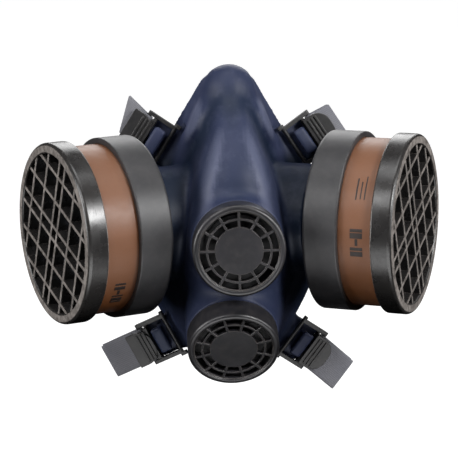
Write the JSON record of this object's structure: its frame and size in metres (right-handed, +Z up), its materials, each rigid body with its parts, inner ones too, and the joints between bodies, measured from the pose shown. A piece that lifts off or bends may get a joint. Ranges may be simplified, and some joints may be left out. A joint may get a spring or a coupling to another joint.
{
  "type": "half-mask respirator",
  "caption": "Elastomer half-mask respirator with screw-on side filter cartridges, front exhalation valves and buckled strap ends.",
  "frame": {"origin": "centre of the opening that the wearer's face closes, level with the cartridges", "axes": "+X towards the viewer's right as seen from in front, -Y out of the front, +Z up as worn"},
  "size_m": [0.1914, 0.095, 0.1547],
  "materials": {
    "blue_rubber": "satin",
    "black_plastic": "satin",
    "grille_plastic": "semi-gloss",
    "cover_plastic": "semi-gloss",
    "brown_shell": "satin",
    "grey_plastic": "matte",
    "silicone": "satin",
    "gasket_rubber": "matte",
    "buckle_plastic": "satin",
    "webbing": "matte",
    "felt": "matte",
    "carbon": "matte",
    "screen_plastic": "satin"
  },
  "bodies": {
    "mask": {"facepiece": "blue_rubber", "upper_valve_seat": "grey_plastic", "lower_valve_seat": "grey_plastic", "left_inlet_connector": "black_plastic", "left_connector_nut": "grey_plastic", "right_inlet_connector": "black_plastic", "right_connector_nut": "grey_plastic"},
    "upper_flap": {"upper_valve_flap": "silicone"},
    "upper_cover": {"upper_valve_cover": "cover_plastic"},
    "lower_flap": {"lower_valve_flap": "silicone"},
    "lower_cover": {"lower_valve_cover": "cover_plastic"},
    "left_flap": {"left_inhale_flap": "silicone"},
    "left_gasket": {"left_inlet_gasket": "gasket_rubber"},
    "left_cartridge": {"left_holder": "black_plastic", "left_canister_can": "brown_shell", "left_sorbent_bed": "carbon", "left_canister_screen": "screen_plastic", "left_dust_pad": "felt"},
    "left_cap": {"left_grille_cap": "grille_plastic"},
    "right_flap": {"right_inhale_flap": "silicone"},
    "right_gasket": {"right_inlet_gasket": "gasket_rubber"},
    "right_cartridge": {"right_holder": "black_plastic", "right_canister_can": "brown_shell", "right_sorbent_bed": "carbon", "right_canister_screen": "screen_plastic", "right_dust_pad": "felt"},
    "right_cap": {"right_grille_cap": "grille_plastic"},
    "upper_left_buckle": {"upper_left_buckle": "buckle_plastic"},
    "upper_left_strap": {"upper_left_strap": "webbing"},
    "upper_right_buckle": {"upper_right_buckle": "buckle_plastic"},
    "upper_right_strap": {"upper_right_strap": "webbing"},
    "lower_left_buckle": {"lower_left_buckle": "buckle_plastic"},
    "lower_left_strap": {"lower_left_strap": "webbing"},
    "lower_right_buckle": {"lower_right_buckle": "buckle_plastic"},
    "lower_right_strap": {"lower_right_strap": "webbing"}
  },
  "joints": [
    {"name": "upper_flap_lift", "type": "slide", "parent": "mask", "child": "upper_flap", "axis": [0, -1, 0], "range_m": [0, 0.0016], "stiffness_N_per_m": 50},
    {"name": "upper_cover_pull", "type": "slide", "parent": "mask", "child": "upper_cover", "axis": [0, -1, 0], "range_m": [0, 0.012]},
    {"name": "lower_flap_lift", "type": "slide", "parent": "mask", "child": "lower_flap", "axis": [0, -0.8988, -0.4384], "range_m": [0, 0.0016], "stiffness_N_per_m": 50},
    {"name": "lower_cover_pull", "type": "slide", "parent": "mask", "child": "lower_cover", "axis": [0, -0.8988, -0.4384], "range_m": [0, 0.012]},
    {"name": "left_flap_lift", "type": "slide", "parent": "mask", "child": "left_flap", "axis": [0.9135, 0.4067, 0], "range_m": [0, 0.0015], "stiffness_N_per_m": 50},
    {"name": "left_cartridge_out", "type": "slide", "parent": "mask", "child": "left_gasket", "axis": [-0.9135, -0.4067, 0], "range_m": [0, 0.012]},
    {"name": "left_cartridge_turn", "type": "hinge", "parent": "left_gasket", "child": "left_cartridge", "pos_m": [-0.04347, -0.03073, 0], "axis": [-0.9135, -0.4067, 0], "range_deg": [0, 1080]},
    {"name": "left_cap_pull", "type": "slide", "parent": "left_cartridge", "child": "left_cap", "axis": [-0.9135, -0.4067, 0], "range_m": [0, 0.012]},
    {"name": "right_flap_lift", "type": "slide", "parent": "mask", "child": "right_flap", "axis": [-0.9135, 0.4067, 0], "range_m": [0, 0.0015], "stiffness_N_per_m": 50},
    {"name": "right_cartridge_out", "type": "slide", "parent": "mask", "child": "right_gasket", "axis": [0.9135, -0.4067, 0], "range_m": [0, 0.012]},
    {"name": "right_cartridge_turn", "type": "hinge", "parent": "right_gasket", "child": "right_cartridge", "pos_m": [0.04347, -0.03073, 0], "axis": [0.9135, -0.4067, 0], "range_deg": [0, 1080]},
    {"name": "right_cap_pull", "type": "slide", "parent": "right_cartridge", "child": "right_cap", "axis": [0.9135, -0.4067, 0], "range_m": [0, 0.012]},
    {"name": "upper_left_buckle_rock", "type": "hinge", "parent": "mask", "child": "upper_left_buckle", "pos_m": [-0.0332, -0.0041, 0.0328], "axis": [-0.5446, 0, -0.8387], "range_deg": [-5, 15]},
    {"name": "upper_left_strap_swing", "type": "hinge", "parent": "upper_left_buckle", "child": "upper_left_strap", "pos_m": [-0.04017, -0.00187, 0.03732], "axis": [-0.5446, 0, -0.8387], "range_deg": [0, 30]},
    {"name": "upper_right_buckle_rock", "type": "hinge", "parent": "mask", "child": "upper_right_buckle", "pos_m": [0.0342, -0.0042, 0.0312], "axis": [-0.5446, 0, 0.8387], "range_deg": [-5, 15]},
    {"name": "upper_right_strap_swing", "type": "hinge", "parent": "upper_right_buckle", "child": "upper_right_strap", "pos_m": [0.04117, -0.00197, 0.03572], "axis": [-0.5446, 0, 0.8387], "range_deg": [0, 30]},
    {"name": "lower_left_buckle_rock", "type": "hinge", "parent": "mask", "child": "lower_left_buckle", "pos_m": [-0.032, -0.01, -0.0583], "axis": [0.454, 0, -0.891], "range_deg": [-5, 15]},
    {"name": "lower_left_strap_swing", "type": "hinge", "parent": "lower_left_buckle", "child": "lower_left_strap", "pos_m": [-0.0394, -0.00777, -0.06207], "axis": [0.454, 0, -0.891], "range_deg": [0, 30]},
    {"name": "lower_right_buckle_rock", "type": "hinge", "parent": "mask", "child": "lower_right_buckle", "pos_m": [0.0313, -0.0098, -0.0624], "axis": [0.6018, 0, 0.7986], "range_deg": [-5, 15]},
    {"name": "lower_right_strap_swing", "type": "hinge", "parent": "lower_right_buckle", "child": "lower_right_strap", "pos_m": [0.03793, -0.00757, -0.0674], "axis": [0.6018, 0, 0.7986], "range_deg": [0, 30]}
  ],
  "couplings": [
    {"joint": "left_cartridge_out", "follows": "left_cartridge_turn", "m_per_rad": 0.00063661},
    {"joint": "right_cartridge_out", "follows": "right_cartridge_turn", "m_per_rad": 0.00063661}
  ]
}
